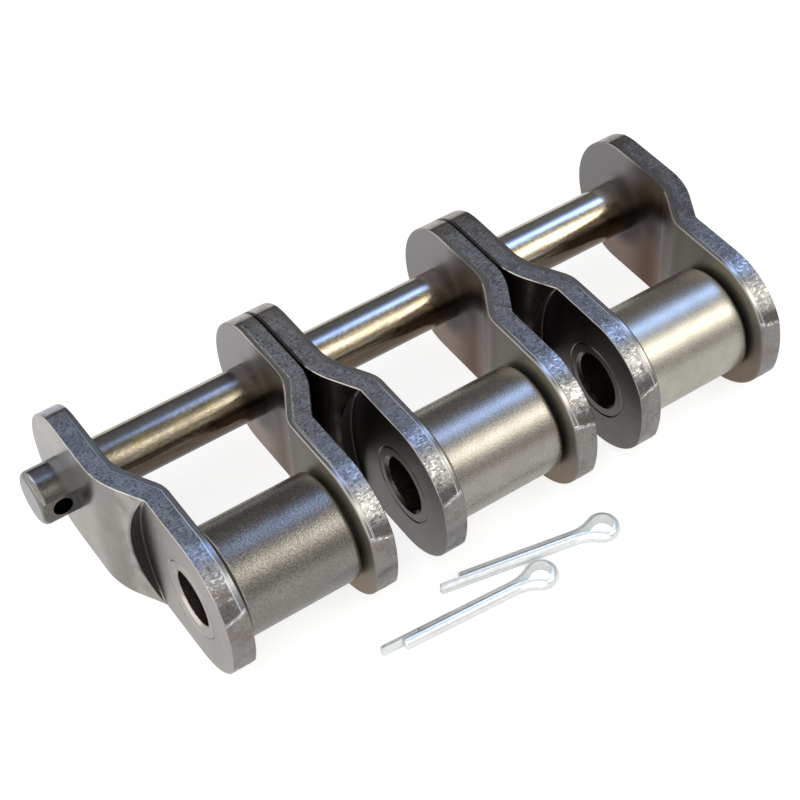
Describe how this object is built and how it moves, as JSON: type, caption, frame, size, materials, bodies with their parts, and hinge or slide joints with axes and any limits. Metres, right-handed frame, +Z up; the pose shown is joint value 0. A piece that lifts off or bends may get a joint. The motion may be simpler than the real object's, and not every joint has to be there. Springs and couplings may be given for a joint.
{
  "type": "offset chain link",
  "caption": "Cranked half link for a multi-strand roller chain: plates wide at the pin end and narrow at the bush end, with rollers, slip-fit pin and cotters.",
  "frame": {"origin": "on the pin's axis, in the middle strand's centre plane", "axes": "+X from the pin to the bushes, +Y along the pin from the near strand to the far one, +Z up, with the plates standing on their lower edges"},
  "size_m": [0.0786, 0.151, 0.03],
  "materials": {
    "plate_steel": "ground faces, dark heat-treated and tumbled, with rough sheared edges",
    "bush_steel": "satin, case-hardened",
    "roller_steel": "satin, fine shot-blasted",
    "pin_steel": "ground and lightly straw-tinted",
    "zinc_wire": "bright zinc plate"
  },
  "bodies": {
    "near_strand": {"near_front_plate": "plate_steel", "near_back_plate": "plate_steel", "near_bush": "bush_steel", "rear_cotter": "zinc_wire", "front_cotter": "zinc_wire"},
    "pin": {"connecting_pin": "pin_steel"},
    "middle_strand": {"middle_front_plate": "plate_steel", "middle_back_plate": "plate_steel", "middle_bush": "bush_steel"},
    "far_strand": {"far_front_plate": "plate_steel", "far_back_plate": "plate_steel", "far_bush": "bush_steel"},
    "near_roller": {"near_roller": "roller_steel"},
    "middle_roller": {"middle_roller": "roller_steel"},
    "far_roller": {"far_roller": "roller_steel"}
  },
  "joints": [
    {"name": "pin_slide", "type": "slide", "parent": "near_strand", "child": "pin", "axis": [0, 1, 0], "range_m": [0, 0.144]},
    {"name": "middle_strand_swing", "type": "hinge", "parent": "near_strand", "child": "middle_strand", "pos_m": [0, 0, 0], "axis": [0, 1, 0], "continuous": true},
    {"name": "far_strand_swing", "type": "hinge", "parent": "near_strand", "child": "far_strand", "pos_m": [0, 0.04544, 0], "axis": [0, 1, 0], "continuous": true},
    {"name": "near_roller_spin", "type": "hinge", "parent": "near_strand", "child": "near_roller", "pos_m": [0.0381, -0.04544, 0], "axis": [0, 1, 0], "continuous": true},
    {"name": "middle_roller_spin", "type": "hinge", "parent": "middle_strand", "child": "middle_roller", "pos_m": [0.0381, 0, 0], "axis": [0, 1, 0], "continuous": true},
    {"name": "far_roller_spin", "type": "hinge", "parent": "far_strand", "child": "far_roller", "pos_m": [0.0381, 0.04544, 0], "axis": [0, 1, 0], "continuous": true}
  ]
}
